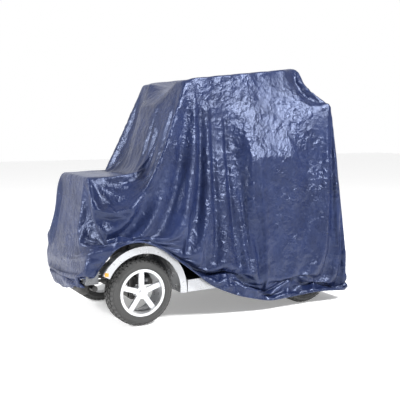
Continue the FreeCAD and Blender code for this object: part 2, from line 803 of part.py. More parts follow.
pieces += [
    main_frame(), front_axle_beam(), tie_rod(), floor_pan(), deck_mat(), front_fascia(), front_bumper(),
    bumper_bar(), headlights(), rear_shroud(), rear_bumper(), tail_lights(), batteries(), controller(),
    transaxle(), seat_post(), steering_column(), tiller_shroud(), handlebar(), throttle_lever(),
    brake_lever(), speed_dial(), ignition_key(), button("48", "horn_button"), button("-48", "light_button"),
    tilt_lever(), basket(), seat_swivel(), seat_pan(), seat_cushion(), backrest_shell(),
    backrest_cushion(), headrest(), swivel_lever(),
]

FRONT_ARCH = ("left_front_fender", "front_axle_x", "arch_radius", "arch_inner_y", 27, 158)
REAR_ARCH = ("rear_fender_left", "rear_axle_x", "rear_arch_radius", "203", 2, 170)
paired = {
    "knuckle": knuckle(),
    "front_fender": fender(*FRONT_ARCH),
    "grip": grip(),
    "mirror": mirror(),
    "armrest": armrest(),
}
twins = {"side_skirts": side_skirt(), "rear_fenders": fender(*REAR_ARCH), "seat_side_frames": seat_bracket()}
for part_name, left_piece in twins.items():
    pieces.append(named(group(left_piece, mirrored(left_piece, f"{part_name}_right")), part_name))
for part_name, left_piece in paired.items():
    pieces += [left_piece, mirrored(left_piece, f"right_{part_name}")]
pieces += cover_panels()

doc.recompute()

for item in doc.Objects:
    if {"Invalid", "Error"} & set(item.State):
        raise RuntimeError(f"{item.Label} failed: {item.State}")

os.makedirs("parts", exist_ok=True)
for piece in pieces:
    shape = piece.Shape
    if shape.isNull() or not shape.isValid() or not shape.Solids:
        raise RuntimeError(f"{piece.Label} has no sound solid")
    shape.exportStep(f"parts/{piece.Label}.step")
print(len(pieces), "pieces")
for piece in pieces:
    bounds = piece.Shape.BoundBox
    print(f"{piece.Label:20} solids {len(piece.Shape.Solids)} X {bounds.XMin:7.1f} {bounds.XMax:7.1f}"
          f" Y {bounds.YMin:7.1f} {bounds.YMax:7.1f} Z {bounds.ZMin:7.1f} {bounds.ZMax:7.1f}")
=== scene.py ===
"""Large road mobility scooter under its navy storage cover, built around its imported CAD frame.

Metres throughout. +X is forward, +Y is the rider's left, +Z is up.
"""
from __future__ import annotations

import logging
import math
from collections.abc import Iterator, Sequence
from contextlib import contextmanager
from dataclasses import dataclass
from enum import Enum

import bmesh
import bpy
import numpy as np
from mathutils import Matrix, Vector


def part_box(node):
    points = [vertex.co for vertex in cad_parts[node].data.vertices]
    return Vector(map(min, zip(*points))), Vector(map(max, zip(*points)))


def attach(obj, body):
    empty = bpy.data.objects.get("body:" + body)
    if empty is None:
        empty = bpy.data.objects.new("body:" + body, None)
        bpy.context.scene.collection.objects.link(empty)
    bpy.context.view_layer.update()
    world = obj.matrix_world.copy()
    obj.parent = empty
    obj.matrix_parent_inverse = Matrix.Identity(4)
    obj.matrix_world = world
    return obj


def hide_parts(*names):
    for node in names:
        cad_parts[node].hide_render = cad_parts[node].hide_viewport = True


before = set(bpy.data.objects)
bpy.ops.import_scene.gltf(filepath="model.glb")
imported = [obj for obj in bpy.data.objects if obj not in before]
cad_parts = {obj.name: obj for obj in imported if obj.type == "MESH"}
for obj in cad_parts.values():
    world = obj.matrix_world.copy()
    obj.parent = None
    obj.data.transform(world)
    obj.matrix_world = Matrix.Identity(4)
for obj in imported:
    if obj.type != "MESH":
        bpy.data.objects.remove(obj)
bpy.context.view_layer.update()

log = logging.getLogger("mobility_scooter")

Piece = bpy.types.Object
Socket = bpy.types.NodeSocket
Point2 = tuple[float, float]
Point3 = tuple[float, float, float]
Colour = tuple[float, float, float]


# ------------------------------------------------------------------ modelling helpers
def deselect() -> None:
    """Leave no object selected, so that the next operator acts on its own primitive."""
    if bpy.context.mode != "OBJECT":
        bpy.ops.object.mode_set(mode="OBJECT")
    bpy.ops.object.select_all(action="DESELECT")


def activate(piece: Piece) -> Piece:
    """Make one object the only selected and active one."""
    deselect()
    piece.select_set(True)
    bpy.context.view_layer.objects.active = piece
    return piece


def apply_modifier(piece: Piece, kind: str, **settings: object) -> Piece:
    """Add a modifier with its settings and apply it.

    Args:
        piece: The object to change.
        kind: Blender's modifier type.
        settings: Values for the modifier's properties.

    Returns:
        The same object.
    """
    activate(piece)
    modifier = piece.modifiers.new(kind.title(), kind)
    for name, value in settings.items():
        setattr(modifier, name, value)
    bpy.ops.object.modifier_apply(modifier=modifier.name)
    return piece


@contextmanager
def editing(piece: Piece) -> Iterator[None]:
    """Edit mode on one object with all of it selected, and object mode again afterwards.

    Args:
        piece: The object to edit.

    Yields:
        Nothing, while the object is in edit mode.
    """
    activate(piece)
    bpy.ops.object.mode_set(mode="EDIT")
    bpy.ops.mesh.select_all(action="SELECT")
    yield
    bpy.ops.object.mode_set(mode="OBJECT")


def linked(name: str, data: bpy.types.ID) -> Piece:
    """A new object that shows some data, linked to the scene."""
    piece = bpy.data.objects.new(name, data)
    bpy.context.scene.collection.objects.link(piece)
    return piece


def mesh_object(name: str, points: list, faces: list) -> Piece:
    """A mesh object made from points and faces, linked to the scene."""
    mesh = bpy.data.meshes.new(name)
    mesh.from_pydata([tuple(p) for p in points], [], faces)
    mesh.update()
    return linked(name, mesh)


def mesh_points(mesh: bpy.types.Mesh) -> np.ndarray:
    """A mesh's points, one in each row."""
    points = np.empty(len(mesh.vertices) * 3)
    mesh.vertices.foreach_get("co", points)
    return points.reshape(-1, 3)


def middle_of(low: Sequence[float], high: Sequence[float]) -> Point3:
    """The point midway between two corners."""
    return tuple((a + b) / 2 for a, b in zip(low, high))


def round_cord(radius: float) -> Piece:
    """The active object's loose edges made into a smooth round cord."""
    bpy.ops.object.convert(target="CURVE")
    curve = bpy.context.object.data
    curve.bevel_depth = radius
    curve.bevel_resolution = 2
    bpy.ops.object.convert(target="MESH")
    bpy.ops.object.shade_smooth()
    return bpy.context.object


class Plane(Enum):
    """The plane that an outline is drawn in."""

    SIDE = "x and z"
    FRONT = "y and z"
    PLAN = "x and y"


def prism(name: str, outline: Sequence[Point2], plane: Plane, reach: float) -> Piece:
    """A closed prism on an outline, reaching the same way to both sides.

    Args:
        name: The object's name.
        outline: Points of the outline, in order.
        plane: The outline's plane: SIDE is x and z, FRONT is y and z, PLAN is x and y.
        reach: How far the prism runs to each side.

    Returns:
        The prism, with its normals outwards.
    """
    def put(across: float, up: float, out: float) -> Point3:
        """A point of the prism from a point of the outline."""
        if plane is Plane.SIDE:
            return across, out, up
        return (out, across, up) if plane is Plane.FRONT else (across, up, out)

    count = len(outline)
    points = [put(a, z, -reach) for a, z in outline] + [put(a, z, reach) for a, z in outline]
    faces = [tuple(range(count)), tuple(range(2 * count - 1, count - 1, -1))]
    faces += [(n, n + count, (n + 1) % count + count, (n + 1) % count) for n in range(count)]
    piece = mesh_object(name, points, faces)
    with editing(piece):
        bpy.ops.mesh.normals_make_consistent(inside=False)
    return piece


# ------------------------------------------------------------------ finishes
class Grain(Enum):
    """The fine relief of a surface."""

    PEEL = "orange peel of paint and moulded plastic"
    PEBBLE = "pebbled vinyl or textured plastic"
    BRUSHED = "fine lines along one axis"
    CAST = "sand-cast metal"


@dataclass(frozen=True)
class Finish:
    """A surface with mottled colour, smeared gloss, a low tint of road dust (on the tyres also painted
    sunlight), and a fine relief.
    """

    name: str
    colour: Colour
    roughness: float
    metallic: float = 0.0
    mottle: float = 0.18
    mottle_scale: float = 9.0
    smear: float = 0.10
    grain: Grain = Grain.PEEL
    grain_scale: float = 420.0
    grain_depth: float = 0.00015
    coat: float = 0.0
    sheen: float = 0.0
    transmission: float = 0.0
    # Low tint: road dust, and on the tyres painted sunlight as well.
    dust_and_sunlight: float = 0.0
    dust_and_sunlight_colour: Colour = (0.30, 0.27, 0.22)
    dust_and_sunlight_height: float = 0.25

    def material(self) -> bpy.types.Material:
        """The finish as a material, made once and then shared."""
        if self.name in bpy.data.materials:
            return bpy.data.materials[self.name]
        material = bpy.data.materials.new(self.name)
        material.use_nodes = True
        graph = Graph(material)
        shader = graph.shader
        shader.inputs["Metallic"].default_value = self.metallic
        shader.inputs["Coat Weight"].default_value = self.coat
        shader.inputs["Coat Roughness"].default_value = 0.08
        shader.inputs["Sheen Weight"].default_value = self.sheen
        shader.inputs["Transmission Weight"].default_value = self.transmission
        place = graph.add("ShaderNodeTexCoord").outputs["Object"]
        cloud = graph.noise(place, self.mottle_scale, 6.0, 0.62)
        dark = tuple(c * (1 - self.mottle) for c in self.colour)
        light = tuple(min(1.0, c * (1 + self.mottle)) for c in self.colour)
        tint = graph.mix(graph.spread(cloud, 0.35, 0.65, 0.0, 1.0), dark, light)
        if self.dust_and_sunlight:
            tint = self.dusted_and_sunlit(graph, place, tint)
        graph.join(tint, shader.inputs["Base Color"])
        smear = graph.noise(place, self.mottle_scale * 4.0, 8.0, 0.7)
        low, high = max(0.03, self.roughness - self.smear), min(1.0, self.roughness + self.smear)
        graph.join(graph.spread(smear, 0.35, 0.65, low, high), shader.inputs["Roughness"])
        graph.join(graph.bump(self.relief(graph, place), self.grain_depth), shader.inputs["Normal"])
        return material

    def dusted_and_sunlit(self, graph: Graph, place: Socket, tint: Socket) -> Socket:
        """The colour with a tint that thins out with height: road dust, and on the tyres also painted sunlight
        on the lower side walls.
        """
        parts = graph.add("ShaderNodeSeparateXYZ")
        graph.join(place, parts.inputs[0])
        low = graph.spread(parts.outputs["Z"], 0.0, self.dust_and_sunlight_height, 1.0, 0.0)
        patch = graph.spread(graph.noise(place, 34.0, 9.0, 0.7), 0.38, 0.68, 0.0, self.dust_and_sunlight)
        share = graph.calc("MULTIPLY", low, patch)
        return graph.mix(share, tint, self.dust_and_sunlight_colour)

    def relief(self, graph: Graph, place: Socket) -> Socket:
        """The height of the fine relief."""
        if self.grain is Grain.PEBBLE:
            return graph.cells(place, self.grain_scale, "SMOOTH_F1")
        if self.grain is Grain.BRUSHED:
            turn = graph.add("ShaderNodeMapping")
            turn.inputs["Scale"].default_value = (1.0, 0.04, 1.0)
            graph.join(place, turn.inputs["Vector"])
            return graph.noise(turn.outputs[0], self.grain_scale, 2.0, 0.5)
        depth = 5.0 if self.grain is Grain.CAST else 2.0
        return graph.noise(place, self.grain_scale, depth, 0.6)


class Graph:
    """Shorthand for building one material's nodes."""

    def __init__(self, material: bpy.types.Material) -> None:
        """Start from the material's own shader."""
        self.tree = material.node_tree
        self.shader = self.tree.nodes["Principled BSDF"]

    def add(self, kind: str) -> bpy.types.Node:
        """A new node."""
        return self.tree.nodes.new(kind)

    def join(self, source: object, target: Socket) -> None:
        """Link a socket, or set a plain value."""
        if isinstance(source, Socket):
            self.tree.links.new(source, target)
        elif isinstance(source, tuple) and target.type == "RGBA":
            target.default_value = (*source, 1.0)
        else:
            target.default_value = source

    def noise(self, place: object, scale: float, detail: float, rough: float) -> Socket:
        """Cloudy noise from 0 to 1."""
        node = self.add("ShaderNodeTexNoise")
        self.join(place, node.inputs["Vector"])
        node.inputs["Scale"].default_value = scale
        node.inputs["Detail"].default_value = detail
        node.inputs["Roughness"].default_value = rough
        return node.outputs["Fac"]

    def cells(self, place: object, scale: float, feature: str) -> Socket:
        """Distance pattern of scattered cells."""
        node = self.add("ShaderNodeTexVoronoi")
        node.feature = feature
        self.join(place, node.inputs["Vector"])
        node.inputs["Scale"].default_value = scale
        return node.outputs["Distance"]

    def calc(self, operation: str, first: object, second: object) -> Socket:
        """One sum."""
        node = self.add("ShaderNodeMath")
        node.operation = operation
        self.join(first, node.inputs[0])
        self.join(second, node.inputs[1])
        return node.outputs[0]

    def spread(self, value: object, low: float, high: float, first: float, last: float) -> Socket:
        """A value between low and high, stretched to run from first to last."""
        node = self.add("ShaderNodeMapRange")
        for number, item in enumerate((value, low, high, first, last)):
            self.join(item, node.inputs[number])
        return node.outputs[0]

    def mix(self, share: object, first: object, second: object) -> Socket:
        """A blend of two colours."""
        node = self.add("ShaderNodeMix")
        node.data_type = "RGBA"
        self.join(share, node.inputs["Factor"])
        self.join(first, node.inputs[6])
        self.join(second, node.inputs[7])
        return node.outputs[2]

    def warped(self, place: object, scale: float, amount: float) -> Socket:
        """The place, pushed about by noise."""
        node = self.add("ShaderNodeTexNoise")
        self.join(place, node.inputs["Vector"])
        node.inputs["Scale"].default_value = scale
        push = self.add("ShaderNodeVectorMath")
        push.operation = "MULTIPLY_ADD"
        self.join(node.outputs["Color"], push.inputs[0])
        push.inputs[1].default_value = (amount, amount, amount)
        self.join(place, push.inputs[2])
        return push.outputs[0]

    def bump(self, height: object, depth: float, under: object = None) -> Socket:
        """A bumped normal, over another one if given."""
        node = self.add("ShaderNodeBump")
        node.inputs["Strength"].default_value = 1.0
        node.inputs["Distance"].default_value = depth
        self.join(height, node.inputs["Height"])
        if under is not None:
            self.join(under, node.inputs["Normal"])
        return node.outputs["Normal"]


@dataclass(frozen=True)
class CoverNylon:
    """Coated navy nylon, creased from being folded away, with a fine close weave."""

    name: str = "navy_nylon"
    colour: Colour = (0.0055, 0.0095, 0.036)
    worn: Colour = (0.012, 0.020, 0.066)
    roughness: float = 0.30

    def material(self) -> bpy.types.Material:
        """The cloth as a material, made once and then shared."""
        if self.name in bpy.data.materials:
            return bpy.data.materials[self.name]
        material = bpy.data.materials.new(self.name)
        material.use_nodes = True
        graph = Graph(material)
        shader = graph.shader
        place = graph.add("ShaderNodeTexCoord").outputs["Object"]
        wide = graph.warped(place, 5.0, 0.10)
        close = graph.warped(place, 16.0, 0.035)
        crumple = graph.cells(wide, 11.0, "F1")
        crease = graph.cells(close, 34.0, "F1")
        pucker = graph.cells(close, 85.0, "F1")
        patch = graph.spread(graph.noise(place, 4.5, 3.0, 0.6), 0.40, 0.62, 0.25, 1.0)
        fade = graph.spread(graph.noise(place, 7.0, 7.0, 0.65), 0.35, 0.70, 0.0, 1.0)
        graph.join(graph.mix(fade, self.colour, self.worn), shader.inputs["Base Color"])
        smear = graph.noise(place, 22.0, 6.0, 0.7)
        gloss = graph.spread(smear, 0.3, 0.7, self.roughness - 0.06, self.roughness + 0.10)
        graph.join(gloss, shader.inputs["Roughness"])
        shader.inputs["IOR"].default_value = 1.55
        shader.inputs["Specular Tint"].default_value = (0.60, 0.70, 1.0, 1.0)
        shader.inputs["Sheen Weight"].default_value = 0.06
        shader.inputs["Sheen Roughness"].default_value = 0.35
        shader.inputs["Sheen Tint"].default_value = (0.40, 0.52, 1.0, 1.0)
        big = graph.bump(graph.calc("MULTIPLY", crumple, patch), 0.0055)
        small = graph.bump(graph.calc("MULTIPLY", crease, patch), 0.0042, big)
        tiny = graph.bump(graph.calc("MULTIPLY", pucker, patch), 0.0018, small)
        weave = graph.bump(self.weave(graph, place), 0.00012, tiny)
        graph.join(weave, shader.inputs["Normal"])
        return material

    def weave(self, graph: Graph, place: object) -> Socket:
        """Threads one and a half millimetres apart, both ways."""
        bands = []
        for way in ("X", "Z"):
            wave = graph.add("ShaderNodeTexWave")
            wave.bands_direction = way
            wave.inputs["Scale"].default_value = 210.0
            wave.inputs["Distortion"].default_value = 1.5
            graph.join(place, wave.inputs["Vector"])
            bands.append(wave.outputs["Fac"])
        return graph.calc("MAXIMUM", *bands)


FINISHES: dict[str, Finish] = {
    "silver_panel": Finish("silver_lacquer", (0.40, 0.41, 0.43), 0.30, 0.55, 0.05, 5.0, 0.06,
        Grain.PEEL, 260, 0.0001, coat=0.7, dust_and_sunlight=0.25),
    "charcoal_panel": Finish("charcoal_lacquer", (0.085, 0.09, 0.10), 0.30, 0.2, 0.10, 6.0, 0.08,
        Grain.PEEL, 260, 0.0001, coat=0.6, dust_and_sunlight=0.3),
    "black_plastic": Finish("textured_black_plastic", (0.018, 0.018, 0.020), 0.55, 0.0, 0.20, 12.0, 0.10,
        Grain.PEBBLE, 480, 0.0003, dust_and_sunlight=0.3),
    "rubber_black": Finish("moulded_rubber", (0.020, 0.020, 0.021), 0.72, 0.0, 0.22, 14.0, 0.12,
        Grain.PEBBLE, 300, 0.0003),
    # Tyres: the strong beige-grey low tint is painted sunlight on the lower side walls as well as road dust.
    "tyre_rubber": Finish("tyre_rubber", (0.040, 0.040, 0.043), 0.78, 0.0, 0.25, 18.0, 0.10,
        Grain.CAST, 520, 0.0004, dust_and_sunlight=0.75, dust_and_sunlight_colour=(0.20, 0.19, 0.175), dust_and_sunlight_height=0.36),
    "alloy": Finish("silver_alloy", (0.60, 0.61, 0.63), 0.32, 0.40, 0.06, 9.0, 0.08,
        Grain.CAST, 380, 0.00012, coat=0.5, dust_and_sunlight=0.15),
    "steel_black": Finish("black_powder_coat", (0.022, 0.022, 0.024), 0.45, 0.1, 0.15, 10.0, 0.10,
        Grain.CAST, 700, 0.0002, dust_and_sunlight=0.35),
    "steel_plain": Finish("plain_steel", (0.46, 0.46, 0.47), 0.38, 0.95, 0.15, 12.0, 0.14,
        Grain.BRUSHED, 500, 0.0001, dust_and_sunlight=0.3),
    "chrome_plate": Finish("bright_chrome", (0.86, 0.87, 0.88), 0.10, 1.0, 0.03, 8.0, 0.05,
        Grain.PEEL, 200, 0.00003),
    "lens_clear": Finish("clear_lens", (0.85, 0.87, 0.88), 0.10, 0.0, 0.05, 20.0, 0.05,
        Grain.BRUSHED, 160, 0.0005, coat=0.6, transmission=0.35),
    "lens_red": Finish("red_lens", (0.42, 0.012, 0.012), 0.14, 0.0, 0.15, 20.0, 0.06,
        Grain.BRUSHED, 160, 0.0005, coat=0.6),
    "battery_case": Finish("battery_case", (0.030, 0.032, 0.036), 0.5, 0.0, 0.2, 14.0, 0.1,
        Grain.PEBBLE, 380, 0.0003, dust_and_sunlight=0.2),
    "seat_vinyl": Finish("black_vinyl", (0.022, 0.022, 0.026), 0.42, 0.0, 0.22, 16.0, 0.12,
        Grain.PEBBLE, 360, 0.0005, sheen=0.15),
    "cover_cloth": Finish("cover_backing", (0.02, 0.03, 0.10), 0.5),
    "button_red": Finish("red_button", (0.45, 0.02, 0.02), 0.35, 0.0, 0.12, 30.0, 0.08,
        Grain.PEEL, 300, 0.0001),
}
AMBER = Finish("amber_reflector", (0.85, 0.28, 0.02), 0.18, 0.0, 0.12, 60.0, 0.05,
               Grain.PEBBLE, 700, 0.0006, coat=0.6)
GLASS = Finish("mirror_glass", (0.88, 0.90, 0.92), 0.04, 1.0, 0.02, 10.0, 0.02, Grain.PEEL, 120, 0.00002)


def dress_frame() -> None:
    """Give every CAD node the finish of its material slot."""
    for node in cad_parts.values():
        for place in node.material_slots:
            slot = place.material.name.split(".")[0]
            place.material = FINISHES[slot].material()


# ------------------------------------------------------------------ shared modelling
def block(name: str, low: Sequence[float], high: Sequence[float], bevel: float, segments: int) -> Piece:
    """A block between two corners with rounded edges."""
    deselect()
    size = [b - a for a, b in zip(low, high)]
    bpy.ops.mesh.primitive_cube_add(size=1, location=middle_of(low, high), scale=size)
    piece = bpy.context.object
    piece.name = name
    bpy.ops.object.transform_apply(location=True, rotation=True, scale=True)
    with editing(piece):
        bpy.ops.mesh.bevel(offset=bevel, segments=segments, affect="EDGES")
    bpy.ops.object.shade_smooth_by_angle(angle=math.radians(40))
    return piece


def spun(name: str, profile: list[Point2], centre: Sequence[float], steps: int = 96) -> Piece:
    """A profile of distances across and radii, turned about an axle along Y.

    Args:
        name: The piece's name.
        profile: Points as (distance from the centre along Y, radius).
        centre: A point on the axle.
        steps: How many steps make the full turn.

    Returns:
        The turned piece, with its normals outwards.
    """
    x, y, z = centre
    piece = mesh_object(name, [(x, y + across, z + radius) for across, radius in profile], [])
    piece.data.edges.add(len(profile) - 1)
    for number, edge in enumerate(piece.data.edges):
        edge.vertices = (number, number + 1)
    with editing(piece):
        bpy.ops.mesh.spin(steps=steps, angle=math.tau, center=centre, axis=(0, 1, 0))
        bpy.ops.mesh.select_all(action="SELECT")
        bpy.ops.mesh.remove_doubles(threshold=0.00005)
        bpy.ops.mesh.normals_make_consistent(inside=False)
    bpy.ops.object.shade_smooth_by_angle(angle=math.radians(50))
    return piece


def round_copies(piece: Piece, centre: Sequence[float], count: int) -> Piece:
    """Copies of a piece's mesh all round an axle along Y, in the same object."""
    with editing(piece):
        bpy.ops.mesh.spin(steps=count, angle=math.tau, center=centre, axis=(0, 1, 0), dupli=True)
        bpy.ops.mesh.select_all(action="SELECT")
        bpy.ops.mesh.remove_doubles(threshold=0.00002)
    return piece


def wire(name: str, paths: list[list[Sequence[float]]], radius: float, closed: bool = False) -> Piece:
    """Round wires along paths, as one mesh."""
    curve = bpy.data.curves.new(name, "CURVE")
    curve.dimensions = "3D"
    curve.bevel_depth = radius
    curve.bevel_resolution = 2
    curve.use_fill_caps = True
    for path in paths:
        line = curve.splines.new("POLY")
        line.points.add(len(path) - 1)
        for point, place in zip(line.points, path):
            point.co = (*place, 1)
        line.use_cyclic_u = closed
    activate(linked(name, curve))
    bpy.ops.object.convert(target="MESH")
    piece = bpy.context.object
    bpy.ops.object.shade_smooth_by_angle(angle=math.radians(60))
    return piece


def joined(name: str, pieces: list[Piece]) -> Piece:
    """Several meshes made into one object."""
    activate(pieces[0])
    for piece in pieces:
        piece.select_set(True)
    bpy.ops.object.join()
    pieces[0].name = name
    return pieces[0]


def fit_out(piece: Piece, finish: Finish | CoverNylon, slot: str, body: str,
            *nodes: str) -> Piece:
    """Give a piece its finish and its body, and hide the CAD nodes it stands for."""
    piece.data.materials.clear()
    piece.data.materials.append(finish.material())
    if nodes:
        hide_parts(*nodes)
    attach(piece, body)
    log.info("%s: %d faces on %s", piece.name, len(piece.data.polygons), body)
    return piece


# ------------------------------------------------------------------ cloth solver
@dataclass
class ClothSolver:
    """Cloth that keeps the lengths between its points, falls, and stays outside convex shells.

    Held points never move. The cloth is looser below the first of loose_levels than above the second.
    """

    points: np.ndarray
    links: np.ndarray
    stiff: np.ndarray
    edge_count: int
    held: np.ndarray
    shells: list[tuple[np.ndarray, np.ndarray]]
    slack: np.ndarray
    clearance: float = 0.012
    gravity: float = 0.2
    step: float = 0.011
    rounds: int = 8
    bend: float = 0.035
    damping: float = 0.02
    grip: float = 0.7
    overshoot: float = 1.9
    seed: int = 11
    ruffle: float = 0.004
    ruffle_rounds: int = 6
    ruffle_soften: float = 0.6
    ruffle_gain: float = 2.5
    loose_levels: tuple[float, float] = (0.80, 1.08)
    top_slack: float = -0.12
    room: tuple[tuple[float, ...], tuple[float, ...]] = ((-0.785, -0.402, 0.0), (0.772, 0.402, 1.30))

    def __post_init__(self) -> None:
        """Work out rest lengths and how many links meet at each point."""
        first, second = self.links.T
        height = (self.points[second, 2] + self.points[first, 2]) / 2
        loose = np.interp(height, self.loose_levels, (1.0, self.top_slack))[:, None]
        span = (self.points[second] - self.points[first]) * (1 + self.slack * loose)
        self.rest = np.linalg.norm(span, axis=1)
        count = len(self.points)
        meet = np.bincount(first, self.stiff, count) + np.bincount(second, self.stiff, count)
        self.share = np.where(self.held, 0.0, 1.0 / np.maximum(meet, 1e-6))[:, None]
        a, b = self.links[:self.edge_count].T
        around = np.bincount(a, minlength=count) + np.bincount(b, minlength=count)
        self.around = np.maximum(around, 1)[:, None]
        self.boxed = []
        for normals, offsets in self.shells:
            grown = offsets + self.clearance
            low, high = np.empty(3), np.empty(3)
            for axis in range(3):
                high[axis] = grown[np.argmax(normals[:, axis])]
                low[axis] = -grown[np.argmin(normals[:, axis])]
            self.boxed.append((low, high, normals, grown))

    def gathered(self, first: np.ndarray, second: np.ndarray, move: np.ndarray) -> np.ndarray:
        """Sum of the moves of all links at each point, added at the first end and taken at the second."""
        count = len(self.points)
        return np.stack([np.bincount(first, move[:, k], count) - np.bincount(second, move[:, k], count)
                         for k in range(3)], axis=1)

    def keep_lengths(self, pos: np.ndarray) -> None:
        """Pull every link towards its rest length."""
        first, second = self.links.T
        span = pos[second] - pos[first]
        length = np.linalg.norm(span, axis=1)
        move = (self.stiff * (length - self.rest) / np.maximum(length, 1e-9) * 0.5)[:, None] * span
        pos += self.gathered(first, second, move) * self.share * self.overshoot

    def soften(self, pos: np.ndarray, amount: float) -> None:
        """Move every point a little towards the middle of its neighbours."""
        a, b = self.links[:self.edge_count].T
        span = pos[b] - pos[a]
        pull = self.gathered(a, b, span) / self.around
        pos += amount * np.where(self.held[:, None], 0.0, pull)

    def keep_out(self, pos: np.ndarray, before: np.ndarray) -> None:
        """Push points out of the shells, and let them grip there."""
        for low, high, normals, offsets in self.boxed:
            near = np.flatnonzero(((pos > low) & (pos < high)).all(axis=1))
            if not len(near):
                continue
            away = pos[near] @ normals.T - offsets
            which = away.argmax(axis=1)
            best = away[np.arange(len(near)), which]
            inside = best < 0
            near = near[inside]
            pos[near] -= normals[which[inside]] * best[inside][:, None]
            before[near] += self.grip * (pos[near] - before[near])

    def run(self, steps: int) -> np.ndarray:
        """Let the cloth fall.

        Args:
            steps: How many steps of time to take.

        Returns:
            The settled points.
        """
        rng = np.random.default_rng(self.seed)
        pos = self.points.copy()
        noise = rng.normal(0, self.ruffle, pos.shape)
        for _ in range(self.ruffle_rounds):
            self.soften(noise, self.ruffle_soften)
        pos += np.where(self.held[:, None], 0.0, noise * self.ruffle_gain)
        before = pos.copy()
        drop = np.array([0, 0, -self.gravity * self.step ** 2])
        for _ in range(steps):
            speed = (pos - before) * (1 - self.damping)
            before[:] = pos
            pos += np.where(self.held[:, None], 0.0, speed + drop)
            for _ in range(self.rounds):
                self.keep_lengths(pos)
            self.soften(pos, self.bend)
            np.clip(pos, *self.room, out=pos)
            self.keep_out(pos, before)
        self.keep_out(pos, before)
        return pos


